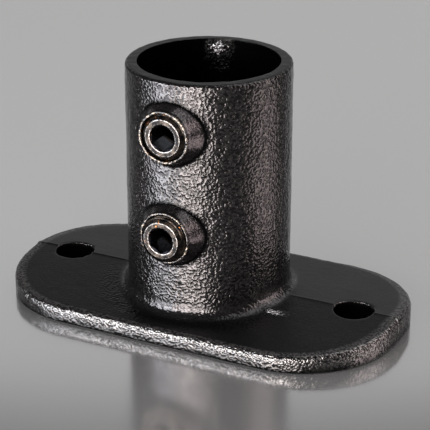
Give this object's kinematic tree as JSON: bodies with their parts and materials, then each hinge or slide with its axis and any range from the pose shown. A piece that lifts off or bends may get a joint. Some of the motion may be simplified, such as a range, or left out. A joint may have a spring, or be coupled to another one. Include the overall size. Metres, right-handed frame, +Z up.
{
  "type": "railing base flange",
  "caption": "Oval base plate with fixing holes and an upright tube socket, whose set screws clamp a railing post.",
  "frame": {"origin": "centre of the base plate's underside, on the axis of the tube socket", "axes": "+X along the plate, +Z up the socket, -Y towards the set screws"},
  "size_m": [0.1484, 0.0816, 0.0922],
  "materials": {
    "coated_casting": "glossy black wrinkled coat",
    "dark_steel": "blackened, worn bright on its edges"
  },
  "bodies": {
    "flange": {"flange_casting": "coated_casting"},
    "lower_screw": {"lower_set_screw": "dark_steel"},
    "upper_screw": {"upper_set_screw": "dark_steel"}
  },
  "joints": [
    {"name": "lower_screw_feed", "type": "slide", "parent": "flange", "child": "lower_screw", "axis": [0, 1, 0], "range_m": [-0.0031, 0.004]},
    {"name": "upper_screw_feed", "type": "slide", "parent": "flange", "child": "upper_screw", "axis": [0, 1, 0], "range_m": [-0.0052, 0.002]}
  ]
}
